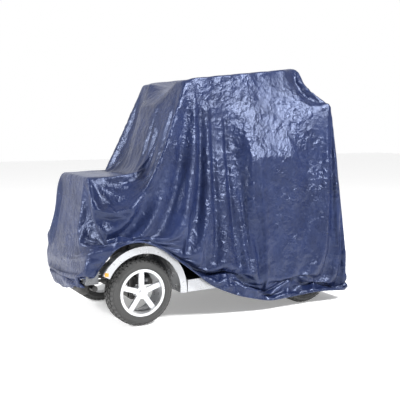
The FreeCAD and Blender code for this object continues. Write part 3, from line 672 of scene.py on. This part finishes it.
# ------------------------------------------------------------------ cover
@dataclass
class StorageCover:
    """The navy storage cover: sewn to its outline and settled over the scooter.

    Its hem, the ridges from the mirrors to the headrest and the rear top corners are held.
    """

    voxel: float = 0.015
    steps: int = 300
    held_corners: tuple[Point3, ...] = ((-0.69, 0.306, 1.05),)
    slack: Point3 = (0.12, 0.08, 0.050)
    supports: tuple[str, ...] = (
        "left_mirror", "right_mirror", "handlebar", "left_grip", "right_grip", "tiller_shroud", "brake_lever",
        "basket", "headrest", "backrest_cushion", "backrest_shell", "left_armrest", "right_armrest",
        "seat_cushion", "seat_side_frames", "left_front_fender", "right_front_fender", "front_fascia",
        "front_bumper", "rear_fenders", "rear_shroud", "rear_bumper", "left_front_tyre", "right_front_tyre",
        "left_rear_tyre", "right_rear_tyre", "side_skirts", "ignition_key", "speed_dial",
    )
    side: tuple[Point2, ...] = (
        (-0.770, 0.0), (-0.765, 0.12), (-0.735, 0.35), (-0.690, 0.66), (-0.690, 1.05), (-0.575, 1.262),
        (0.182, 1.178), (0.262, 1.06), (0.43, 0.722), (0.664, 0.720), (0.712, 0.55), (0.737, 0.40), (0.737, 0.0),
    )
    half_front: tuple[Point2, ...] = (
        (0.388, 0.0), (0.388, 0.35), (0.370, 0.83), (0.272, 1.168), (0.185, 1.258), (0.185, 1.4),
    )
    plan: tuple[Point2, ...] = (
        (-0.80, -0.42), (0.53, -0.42), (0.60, -0.330), (0.668, -0.232), (0.702, -0.12), (0.722, 0.03),
        (0.706, 0.20), (0.664, 0.295), (0.60, 0.365), (0.55, 0.42), (-0.80, 0.42),
    )
    hem: tuple[Point2, ...] = (
        (-0.80, 0.055), (-0.56, 0.075), (-0.25, 0.057), (-0.19, 0.072), (-0.06, 0.106), (0.083, 0.168),
        (0.221, 0.276), (0.352, 0.374), (0.450, 0.422), (0.562, 0.416), (0.599, 0.382), (0.632, 0.320),
        (0.660, 0.272), (0.690, 0.235), (0.710, 0.185), (0.80, 0.160),
    )
    hem_reach: float = 0.014
    hem_radius: float = 0.0036
    hem_rounds: int = 14
    front_band: Point2 = (0.60, 0.66)
    far_band: Point2 = (-0.10, 0.10)
    far_drop: float = 0.045
    corner_reach: float = 0.03
    cross_stiffness: float = 0.45
    ridge: tuple[Point3, Point3] = ((0.13, 0.245, 1.172), (-0.47, 0.175, 1.258))
    ridge_reach: float = 0.014
    skin: float = 0.004

    def sewn_shape(self) -> Piece:
        """The cover as it is sewn, standing clear of the scooter, as an even mesh open below."""
        front = [(-y, z) for y, z in self.half_front] + [(y, z) for y, z in reversed(self.half_front)]
        block = prism("storage_cover", self.side, Plane.SIDE, 0.6)
        for outline, plane in ((front, Plane.FRONT), (self.plan, Plane.PLAN)):
            other = prism("cross_block", outline, plane, 2.0)
            apply_modifier(block, "BOOLEAN", operation="INTERSECT", object=other, solver="EXACT")
            bpy.data.objects.remove(other)
        apply_modifier(block, "REMESH", mode="VOXEL", voxel_size=self.voxel)
        return self.trim(block)

    def hem_height(self, x: float, y: float) -> float:
        """The hem's height at a place; it hangs lower round the far front corner."""
        xs, zs = zip(*self.hem)
        forward = np.interp(x, self.front_band, (0.0, 1.0))
        far = np.interp(y, self.far_band, (1.0, 0.0))
        return float(np.interp(x, xs, zs) - self.far_drop * forward * far)

    def trim(self, block: Piece) -> Piece:
        """Cut the closed block along the hem line."""
        mesh = bmesh.new()
        mesh.from_mesh(block.data)
        middles = {face: face.calc_center_median() for face in mesh.faces}
        below = [face for face, spot in middles.items() if spot.z < self.hem_height(spot.x, spot.y)]
        bmesh.ops.delete(mesh, geom=below, context="FACES")
        for vertex in mesh.verts:
            if vertex.is_boundary:
                vertex.co.z = self.hem_height(vertex.co.x, vertex.co.y)
        edge_loop = [vertex for vertex in mesh.verts if vertex.is_boundary]
        for _ in range(self.hem_rounds):
            means = {}
            for vertex in edge_loop:
                beside = [edge.other_vert(vertex).co for edge in vertex.link_edges if edge.is_boundary]
                if len(beside) == 2:
                    means[vertex] = (beside[0] + beside[1] + vertex.co * 2) / 4
            for vertex, mean in means.items():
                vertex.co = mean
        bmesh.ops.remove_doubles(mesh, verts=mesh.verts, dist=0.3 * self.voxel)
        bmesh.ops.dissolve_degenerate(mesh, edges=mesh.edges, dist=0.001)
        loose = [v for v in mesh.verts if not v.link_faces]
        bmesh.ops.delete(mesh, geom=loose, context="VERTS")
        mesh.to_mesh(block.data)
        mesh.free()
        return block

    def shell_planes(self) -> list[tuple[np.ndarray, np.ndarray]]:
        """The convex outlines of what the cloth can lie on, as normals and offsets of their faces."""
        found = []
        for name in self.supports:
            hull = bmesh.new()
            hull.from_mesh(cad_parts[name].data)
            bmesh.ops.remove_doubles(hull, verts=hull.verts, dist=0.006)
            made = bmesh.ops.convex_hull(hull, input=hull.verts)
            faces = {item for item in made["geom"] if isinstance(item, bmesh.types.BMFace)}
            centre = sum((v.co for v in hull.verts), Vector()) / len(hull.verts)
            planes = set()
            for face in faces:
                face.normal_update()
                if face.calc_area() > 1e-6:
                    out = 1 if face.normal.dot(face.verts[0].co - centre) > 0 else -1
                    planes.add(tuple(round(out * c, 1) for c in face.normal))
            planes |= {(1, 0, 0), (-1, 0, 0), (0, 1, 0), (0, -1, 0), (0, 0, 1), (0, 0, -1)}
            spots = np.array([v.co[:] for v in hull.verts])
            hull.free()
            normals = np.array(sorted(planes), dtype=float)
            normals /= np.linalg.norm(normals, axis=1)[:, None]
            found.append((normals, (spots @ normals.T).max(axis=0)))
        return found

    def drape(self, cloth: Piece) -> None:
        """Let the cloth fall on the scooter with its hem held, and keep the result."""
        mesh = cloth.data
        points = mesh_points(mesh)
        sides = np.empty(len(mesh.edges) * 2, dtype=np.int64)
        mesh.edges.foreach_get("vertices", sides)
        sides = sides.reshape(-1, 2)
        crossing = [pair for p in mesh.polygons if len(p.vertices) == 4
                    for pair in ((p.vertices[0], p.vertices[2]), (p.vertices[1], p.vertices[3]))]
        links = np.vstack([sides, np.array(crossing)])
        stiff = np.concatenate([np.full(len(sides), 1.0), np.full(len(crossing), self.cross_stiffness)])
        hem = np.array([self.hem_height(x, y) for x, y in points[:, :2]])
        held = points[:, 2] - hem < self.hem_reach
        folded = np.column_stack((points[:, 0], np.abs(points[:, 1]), points[:, 2]))
        for corner in self.held_corners:
            held |= np.linalg.norm(folded - corner, axis=1) < self.corner_reach
        start, end = (np.array(point) for point in self.ridge)
        along = np.clip((folded - start) @ (end - start) / ((end - start) @ (end - start)), 0, 1)
        held |= np.linalg.norm(folded - start - along[:, None] * (end - start), axis=1) < self.ridge_reach
        shells = self.shell_planes()
        solver = ClothSolver(points, links, stiff, len(sides), held, shells, np.array(self.slack))
        points = solver.run(self.steps)
        mesh.vertices.foreach_set("co", points.ravel())
        mesh.update()

    def clear(self, cloth: Piece) -> None:
        """Lift the finer mesh just off anything that it dipped into."""
        points = mesh_points(cloth.data)
        none = np.zeros((0, 2), dtype=np.int64)
        held = np.zeros(len(points), dtype=bool)
        solver = ClothSolver(points, none, np.zeros(0), 0, held, self.shell_planes(), np.zeros(3),
                             clearance=self.skin)
        for _ in range(2):
            solver.keep_out(points, points.copy())
        cloth.data.vertices.foreach_set("co", points.ravel())
        cloth.data.update()

    def build(self) -> Piece:
        """Sew, drape and finish the cover.

        Returns:
            The cover, riding on its own body.
        """
        cloth = self.sewn_shape()
        log.info("cover sewn: %d points", len(cloth.data.vertices))
        self.drape(cloth)
        apply_modifier(cloth, "SUBSURF", levels=1, render_levels=1)
        self.clear(cloth)
        activate(cloth)
        bpy.ops.object.shade_smooth()
        fit_out(cloth, CoverNylon(), "cover_cloth", "cover", "cover_left_side", "cover_right_side",
                "cover_front_end", "cover_rear_end", "cover_roof")
        hem = self.rolled_hem(cloth)
        fit_out(hem, CoverNylon(), "cover_cloth", "cover")
        return cloth

    def rolled_hem(self, cloth: Piece) -> Piece:
        """The turned-up edge all along the hem, as a thin roll of cloth."""
        with editing(linked("cover_hem", cloth.data.copy())):
            bpy.ops.mesh.select_mode(type="EDGE")
            bpy.ops.mesh.select_all(action="DESELECT")
            bpy.ops.mesh.select_non_manifold()
            bpy.ops.mesh.select_all(action="INVERT")
            bpy.ops.mesh.delete(type="EDGE")
            bpy.ops.mesh.select_all(action="SELECT")
            bpy.ops.mesh.select_mode(type="VERT")
        return round_cord(self.hem_radius)


# ------------------------------------------------------------------ wheels
@dataclass
class Wheel:
    """A pneumatic tyre with a block tread, and the small parts of its alloy rim."""

    name: str
    outward: int
    radius: float = 0.1625
    bead: float = 0.113
    pitch_count: int = 42
    hub: float = 0.022
    block_height: float = 0.0055
    block_root: float = 0.003
    half_block: float = 0.0085
    shoulder_drop: float = 0.0068

    def centre(self) -> Point3:
        """The middle of the wheel, from its tyre's box."""
        return middle_of(*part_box(f"{self.name}_tyre"))

    def carcass(self) -> Piece:
        """The tyre's body, with raised rings on its side walls."""
        base = self.radius - self.block_height
        outer = [
            (0.0, base), (0.020, base), (0.034, base - 0.0015), (0.046, base - 0.006), (0.0535, base - 0.012),
            (0.0575, base - 0.019), (0.0583, base - 0.0205), (0.0592, base - 0.021), (0.0592, base - 0.0235),
            (0.0580, base - 0.0245), (0.0580, base - 0.031), (0.0573, base - 0.034), (0.0582, base - 0.0345),
            (0.0580, base - 0.0365), (0.0560, base - 0.0375), (0.0550, self.bead + 0.002),
            (0.0530, self.bead), (0.0440, self.bead - 0.002),
        ]
        profile = [(-across, radius) for across, radius in reversed(outer)] + outer[1:]
        return spun(f"{self.name}_carcass", profile + [profile[0]], self.centre(), 120)

    def tread(self) -> list[Piece]:
        """Blocks in five rows: each row's place across, half width, share of a pitch, and tilt."""
        x, y, z = self.centre()
        top = z + self.radius
        rows = ((0.0, 0.0085, 0.0, 0.0), (0.0225, 0.0085, 0.5, 0.0), (-0.0225, 0.0085, 0.5, 0.0),
                (0.0435, 0.0100, 0.0, 0.42), (-0.0435, 0.0100, 0.0, -0.42))
        made = []
        for across, half, shift, tilt in rows:
            sink = self.shoulder_drop if tilt else 0.0
            low = (x - self.half_block, y + across - half, top - sink - self.block_height - self.block_root)
            high = (x + self.half_block, y + across + half, top - sink)
            lug = block("lug", low, high, 0.0013, 1)
            middle = (x, y + across, top - sink)
            skew = 0.35 if shift else -0.12
            turn = shift * math.tau / self.pitch_count
            with editing(lug):
                if tilt:
                    bpy.ops.transform.rotate(value=tilt, orient_axis="X", center_override=middle)
                bpy.ops.transform.rotate(value=skew, orient_axis="Z", center_override=middle)
                bpy.ops.transform.rotate(value=turn, orient_axis="Y", center_override=(x, y, z))
            made.append(round_copies(lug, (x, y, z), self.pitch_count))
        return made

    def hub_cap(self) -> Piece:
        """A domed cap over the hub, at the face that the rim's own mesh gives."""
        x, y, z = self.centre()
        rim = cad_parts[f"{self.name}_rim"].data
        face = max((v.co.y - y) * self.outward for v in rim.vertices
                   if math.hypot(v.co.x - x, v.co.z - z) < self.hub)
        dome = [(face - 0.004, 0.0165), (face + 0.001, 0.0165), (face + 0.0035, 0.0135),
                (face + 0.0046, 0.0070), (face + 0.0049, 0.0001)]
        profile = [(self.outward * across, radius) for across, radius in dome]
        return spun(f"{self.name}_hub_cap", profile, (x, y, z), 32)

    def build(self) -> None:
        """Make the tyre in place of its CAD node, and the cap on its rim."""
        tyre = joined(f"{self.name}_tread_tyre", [self.carcass(), *self.tread()])
        fit_out(tyre, FINISHES["tyre_rubber"], "tyre_rubber", f"{self.name}_wheel", f"{self.name}_tyre")
        fit_out(self.hub_cap(), FINISHES["alloy"], "alloy", f"{self.name}_wheel")


# ------------------------------------------------------------------ upholstery
@dataclass
class Cushion:
    """A stuffed vinyl cushion with piping and sewn channels, in the place of its CAD node."""

    node: str
    body: str
    voxel: float = 0.009
    frames: int = 14
    cap: float = 0.016
    pressure: float = 3.0
    shrink: float = 0.965
    fill: float = 0.7
    inside: float = 0.0015
    keep_above: float = 0.0
    piping_axis: int = 2
    piping_at: tuple[float, ...] = ()
    piping_radius: float = 0.0032
    channels: tuple[float, ...] = ()
    channel_face: int = 2
    channel_across: int = 1
    channel_depth: float = 0.006
    channel_width: float = 0.007
    posts_y: tuple[float, ...] = ()
    post_ends: tuple[Point2, Point2] = ((-0.5123, 0.960), (-0.5424, 1.130))
    post_radius: float = 0.006

    def start(self) -> Piece:
        """A merged, slightly smaller, evenly meshed copy of the CAD node."""
        piece = linked(f"{self.node}_stuffed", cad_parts[self.node].data.copy())
        middle = Vector(middle_of(*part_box(self.node)))
        for vertex in piece.data.vertices:
            vertex.co = middle + (vertex.co - middle) * self.shrink
        apply_modifier(piece, "WELD", merge_threshold=0.0002)
        if self.keep_above:
            cut = (0.0, 0.0, self.keep_above)
            with editing(piece):
                bpy.ops.mesh.bisect(plane_co=cut, plane_no=(0, 0, 1), clear_inner=True, use_fill=True)
        apply_modifier(piece, "REMESH", mode="VOXEL", voxel_size=self.voxel)
        return piece

    def swell(self, piece: Piece) -> None:
        """Blow the cushion up as cloth, and cap how far each point moved."""
        rest = [vertex.co.copy() for vertex in piece.data.vertices]
        activate(piece)
        modifier = piece.modifiers.new("Cloth", "CLOTH")
        settings = modifier.settings
        settings.quality = 4
        settings.use_pressure = True
        settings.uniform_pressure_force = self.pressure
        settings.tension_stiffness = 12
        settings.compression_stiffness = 12
        settings.effector_weights.gravity = 0
        modifier.point_cache.frame_start = 1
        modifier.point_cache.frame_end = self.frames
        for number in range(1, self.frames + 1):
            bpy.context.scene.frame_set(number)
        bpy.ops.object.modifier_apply(modifier=modifier.name)
        bpy.context.scene.frame_set(1)
        low, high = (Vector(corner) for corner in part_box(self.node))
        for vertex, old in zip(piece.data.vertices, rest):
            move = vertex.co - old
            if move.length > self.cap:
                vertex.co = old + move.normalized() * self.cap
            for axis in range(3):
                least, most = low[axis] + self.inside, high[axis] - self.inside
                vertex.co[axis] = min(max(vertex.co[axis], least), most)

    def sew(self, piece: Piece) -> None:
        """Press the sewn channels into the main face."""
        low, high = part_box(self.node)
        face, across = self.channel_face, self.channel_across
        width = high[across] - low[across]
        for vertex in piece.data.vertices:
            facing = max(0.0, vertex.normal[face])
            share = (vertex.co[across] - low[across]) / width
            gap = min(abs(share - line) for line in self.channels) * width
            vertex.co[face] -= self.channel_depth * math.exp(-(gap / self.channel_width) ** 2) * facing

    def piping(self, piece: Piece, share: float) -> Piece:
        """A round cord of vinyl along the line where a plane cuts the cushion."""
        low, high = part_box(self.node)
        axis = self.piping_axis
        cut, way = [0.0, 0.0, 0.0], [0.0, 0.0, 0.0]
        cut[axis] = low[axis] + share * (high[axis] - low[axis])
        way[axis] = 1.0
        with editing(linked("piping", piece.data.copy())):
            bpy.ops.mesh.bisect(plane_co=cut, plane_no=way, clear_inner=True, clear_outer=True)
        return round_cord(self.piping_radius)

    def post(self, number: int, across: float) -> None:
        """One plated post of a headrest, up into its pad."""
        foot, head = self.post_ends
        path = [(foot[0], across, foot[1]), (head[0], across, head[1])]
        post = wire(f"{self.node}_post_{number}", [path], self.post_radius)
        fit_out(post, FINISHES["chrome_plate"], "chrome_plate", self.body)

    def build(self) -> None:
        """Make the cushion and its piping."""
        piece = self.start()
        self.swell(piece)
        apply_modifier(piece, "SUBSURF", levels=1, render_levels=1)
        if self.channels:
            self.sew(piece)
        activate(piece)
        bpy.ops.object.shade_smooth()
        cords = [self.piping(piece, share) for share in self.piping_at]
        fit_out(piece, FINISHES["seat_vinyl"], "seat_vinyl", self.body, self.node)
        for number, across in enumerate(self.posts_y):
            self.post(number + 1, across)
        for number, cord in enumerate(cords):
            cord.name = f"{self.node}_piping_{number + 1}"
            fit_out(cord, FINISHES["seat_vinyl"], "seat_vinyl", self.body)


# ------------------------------------------------------------------ carrying and holding parts
@dataclass
class WireBasket:
    """The front basket, bent from black-coated wire."""

    wire_radius: float = 0.0018
    rim_radius: float = 0.0042
    spacing: float = 0.026
    taper: float = 0.014
    corner: float = 0.03
    first_wire: float = 0.03
    last_wire: float = 0.029
    hoop_levels: tuple[float, ...] = (0.0, 0.35, 0.68)

    def ring(self, level: float) -> list[Point3]:
        """A rounded rectangle round the basket at a share of its height."""
        low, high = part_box("basket")
        inset = self.rim_radius + self.taper * (1 - level)
        z = low[2] + self.rim_radius + level * (high[2] - low[2] - 2 * self.rim_radius)
        x0, x1, y0, y1 = low[0] + inset, high[0] - inset, low[1] + inset, high[1] - inset
        turn = self.corner
        path = []
        for cx, cy, start in ((x1 - turn, y1 - turn, 0), (x0 + turn, y1 - turn, 90),
                              (x0 + turn, y0 + turn, 180), (x1 - turn, y0 + turn, 270)):
            for step in range(7):
                angle = math.radians(start + 15 * step)
                path.append((cx + turn * math.cos(angle), cy + turn * math.sin(angle), z))
        return path

    def uprights(self) -> list[list[Point3]]:
        """U-shaped wires down one wall, across the floor and up the other."""
        top, floor = self.ring(1.0), self.ring(0.0)
        x0, x1 = min(p[0] for p in floor), max(p[0] for p in floor)
        y0, y1 = min(p[1] for p in floor), max(p[1] for p in floor)
        tx0, tx1 = min(p[0] for p in top), max(p[0] for p in top)
        ty0, ty1 = min(p[1] for p in top), max(p[1] for p in top)
        high, low = top[0][2], floor[0][2]
        paths = []
        for y in np.arange(y0 + self.first_wire, y1 - self.last_wire, self.spacing):
            paths.append([(tx0, y, high), (x0, y, low), (x1, y, low), (tx1, y, high)])
        for x in np.arange(x0 + self.first_wire, x1 - self.last_wire, self.spacing):
            paths.append([(x, ty0, high), (x, y0, low), (x, y1, low), (x, ty1, high)])
        return paths

    def build(self) -> None:
        """Make the basket."""
        rim = wire("basket_rim", [self.ring(1.0)], self.rim_radius, closed=True)
        hoop_paths = [self.ring(level) for level in self.hoop_levels]
        hoops = wire("basket_hoops", hoop_paths, self.wire_radius, closed=True)
        grid = wire("basket_grid", self.uprights(), self.wire_radius)
        basket = joined("wire_basket", [rim, hoops, grid])
        fit_out(basket, FINISHES["steel_black"], "steel_black", "column", "basket")


@dataclass
class NoseParts:
    """The rounded bumper under the nose, and the amber side reflectors inside the arches."""

    bumper_radius: float = 0.024
    reflector_across: Point2 = (0.3445, 0.3475)
    reflector_along: Point2 = (0.612, 0.630)
    reflector_up: Point2 = (0.262, 0.280)

    def build(self) -> None:
        """Make the bumper and the reflectors."""
        low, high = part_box("front_bumper")
        bumper = block("rounded_front_bumper", low, high, self.bumper_radius, 6)
        fit_out(bumper, FINISHES["black_plastic"], "black_plastic", "chassis", "front_bumper")
        for side, sign in (("left", 1), ("right", -1)):
            across = sorted(sign * edge for edge in self.reflector_across)
            low, high = zip(self.reflector_along, across, self.reflector_up)
            dot = block(f"{side}_side_reflector", low, high, 0.0014, 2)
            fit_out(dot, AMBER, "lens_red", "chassis")


@dataclass
class Grip:
    """A ribbed rubber handlebar grip."""

    side: str
    ribs: int = 11
    core: float = 0.0115
    end_flange: float = 0.0158
    shoulder: float = 0.0140
    valley: float = 0.0136
    crest: float = 0.0152

    def build(self) -> None:
        """Make the grip in place of its CAD node."""
        low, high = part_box(f"{self.side}_grip")
        half = (high[1] - low[1]) / 2
        outward = 1 if self.side == "left" else -1
        profile = [(-half, self.core), (-half, self.end_flange), (-half + 0.004, self.end_flange),
                   (-half + 0.006, self.shoulder)]
        span = (2 * half - 0.018) / self.ribs
        for number in range(self.ribs):
            start = -half + 0.008 + number * span
            profile += [(start, self.valley), (start + 0.2 * span, self.crest),
                        (start + 0.7 * span, self.crest), (start + 0.9 * span, self.valley)]
        profile += [(half - 0.007, self.valley), (half - 0.004, self.end_flange),
                    (half - 0.001, self.shoulder), (half, 0.0001)]
        profile = [(outward * across, radius) for across, radius in profile]
        grip = spun(f"{self.side}_ribbed_grip", profile, middle_of(low, high), 48)
        fit_out(grip, FINISHES["rubber_black"], "rubber_black", "tiller", f"{self.side}_grip")


@dataclass
class MirrorGlass:
    """The glass on the rider's side of a mirror head."""

    side: str
    margin: float = 0.006
    head_across: Point2 = (0.146, 0.250)
    head_foot: float = 1.08
    proud: float = 0.0012
    sunk: float = 0.0015

    def build(self) -> None:
        """Make the glass."""
        low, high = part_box(f"{self.side}_mirror")
        sign = 1 if self.side == "left" else -1
        near, far = self.head_across
        inner, outer = sorted((sign * (near + self.margin), sign * (far - self.margin)))
        glass_low = (low[0] - self.proud, inner, self.head_foot + self.margin)
        glass_high = (low[0] + self.sunk, outer, high[2] - self.margin)
        glass = block(f"{self.side}_mirror_glass", glass_low, glass_high, 0.001, 2)
        fit_out(glass, GLASS, "chrome_plate", f"{self.side}_mirror")


# ------------------------------------------------------------------ studio
@dataclass
class Studio:
    """The pale floor, the soft lights and the camera."""

    lens: float = 63.36
    eye: Point3 = (1.741, 3.338, 0.957)
    heading: float = 0.492
    pitch: float = 0.107
    white: float = 1.0
    room: float = 0.22

    def build(self) -> None:
        """Set up floor, lights, world and camera."""
        deselect()
        bpy.ops.mesh.primitive_plane_add(size=30, location=(0, 0, 0))
        floor = bpy.context.object
        floor.name = "studio_floor"
        material = bpy.data.materials.new("studio_floor")
        material.use_nodes = True
        shader = material.node_tree.nodes["Principled BSDF"]
        shader.inputs["Base Color"].default_value = (0.93, 0.93, 0.93, 1)
        shader.inputs["Roughness"].default_value = 0.9
        shader.inputs["Specular IOR Level"].default_value = 0.1
        shader.inputs["Emission Color"].default_value = (1, 1, 1, 1)
        shader.inputs["Emission Strength"].default_value = 0.30
        floor.data.materials.append(material)
        world = bpy.data.worlds.new("studio")
        world.use_nodes = True
        self.surround(world.node_tree)
        bpy.context.scene.world = world
        bpy.context.scene.view_settings.view_transform = "Standard"
        self.area("key", (-1.4, 3.0, 3.2), 0.9, 300)
        self.area("side", (4.0, 0.2, 2.2), 0.8, 190)
        data = bpy.data.cameras.new("camera")
        data.lens = self.lens
        data.sensor_width = 36
        camera = linked("camera", data)
        level = math.cos(self.pitch)
        ahead, across = math.cos(self.heading) * level, math.sin(self.heading) * level
        look = Vector((-across, -ahead, -math.sin(self.pitch)))
        camera.location = self.eye
        camera.rotation_euler = look.to_track_quat("-Z", "Y").to_euler()
        bpy.context.scene.camera = camera

    def surround(self, tree: bpy.types.NodeTree) -> None:
        """White all round the scooter's far side, and a dimmer room on its near side."""
        place = tree.nodes.new("ShaderNodeTexCoord")
        parts = tree.nodes.new("ShaderNodeSeparateXYZ")
        fall = tree.nodes.new("ShaderNodeMapRange")
        tree.links.new(place.outputs["Generated"], parts.inputs[0])
        tree.links.new(parts.outputs["Y"], fall.inputs[0])
        for number, value in enumerate((-0.35, 0.45, self.white, self.room), start=1):
            fall.inputs[number].default_value = value
        tree.nodes["Background"].inputs[0].default_value = (1, 1, 1, 1)
        tree.links.new(fall.outputs[0], tree.nodes["Background"].inputs[1])

    def area(self, name: str, place: Point3, size: float, power: float) -> None:
        """A square area light aimed at the scooter's middle."""
        data = bpy.data.lights.new(name, "AREA")
        data.size = size
        data.energy = power
        lamp = linked(name, data)
        lamp.location = place
        aim = Vector((0, 0, 0.6)) - Vector(place)
        lamp.rotation_euler = aim.to_track_quat("-Z", "Y").to_euler()


def main() -> None:
    """Build everything in order."""
    logging.basicConfig(level=logging.INFO, format="%(name)s: %(message)s")
    Studio().build()
    dress_frame()
    StorageCover().build()
    for name, outward in (("left_front", 1), ("right_front", -1), ("left_rear", 1), ("right_rear", -1)):
        Wheel(name, outward).build()
    Cushion("seat_cushion", "seat", channels=(0.28, 0.72), piping_at=(0.72, 0.2)).build()
    Cushion("backrest_cushion", "backrest", channels=(0.3, 0.72), channel_face=0, channel_across=2,
            piping_axis=0, piping_at=(0.6,)).build()
    for armrest in ("left_armrest", "right_armrest"):
        Cushion(armrest, armrest, voxel=0.0065, frames=10, cap=0.006).build()
    Cushion("headrest", "headrest", voxel=0.0065, frames=12, cap=0.009, keep_above=1.106,
            posts_y=(-0.06, 0.06), piping_axis=0, piping_at=(0.62,)).build()
    WireBasket().build()
    NoseParts().build()
    for small_part in (Grip, MirrorGlass):
        for side in ("left", "right"):
            small_part(side).build()


if __name__ == "__main__":
    main()
